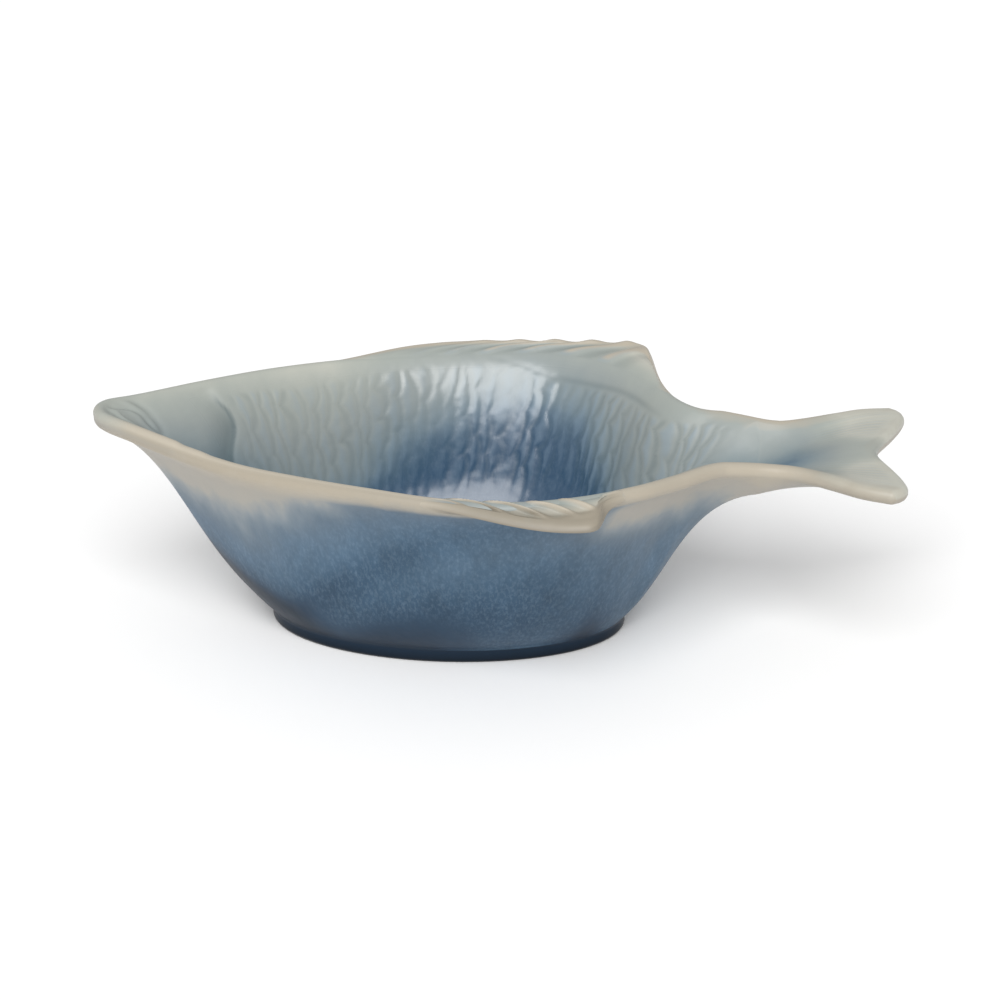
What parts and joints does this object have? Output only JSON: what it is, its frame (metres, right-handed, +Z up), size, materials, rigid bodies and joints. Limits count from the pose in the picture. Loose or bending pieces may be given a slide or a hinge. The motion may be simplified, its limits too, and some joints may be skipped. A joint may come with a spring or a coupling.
{
  "type": "fish shaped serving bowl",
  "caption": "Deep glazed stoneware serving bowl shaped like a fish, with a pointed mouth, scalloped fins on the rim, a forked tail and an oval foot ring.",
  "frame": {"origin": "on the table under the middle of the whole bowl", "axes": "+X towards the tail, +Y towards the dorsal fin, +Z up"},
  "size_m": [0.2617, 0.1492, 0.0718],
  "materials": {
    "blue_glaze": "glossy mottled slate blue glaze",
    "dark_glaze": "satin navy glaze, bare clay underneath",
    "pale_glaze": "glossy pale grey glaze breaking to cream on the edges"
  },
  "bodies": {
    "root": {"bowl": "blue_glaze", "foot_ring": "dark_glaze", "tail": "pale_glaze", "dorsal_fin": "pale_glaze", "belly_fin": "pale_glaze"}
  },
  "joints": []
}
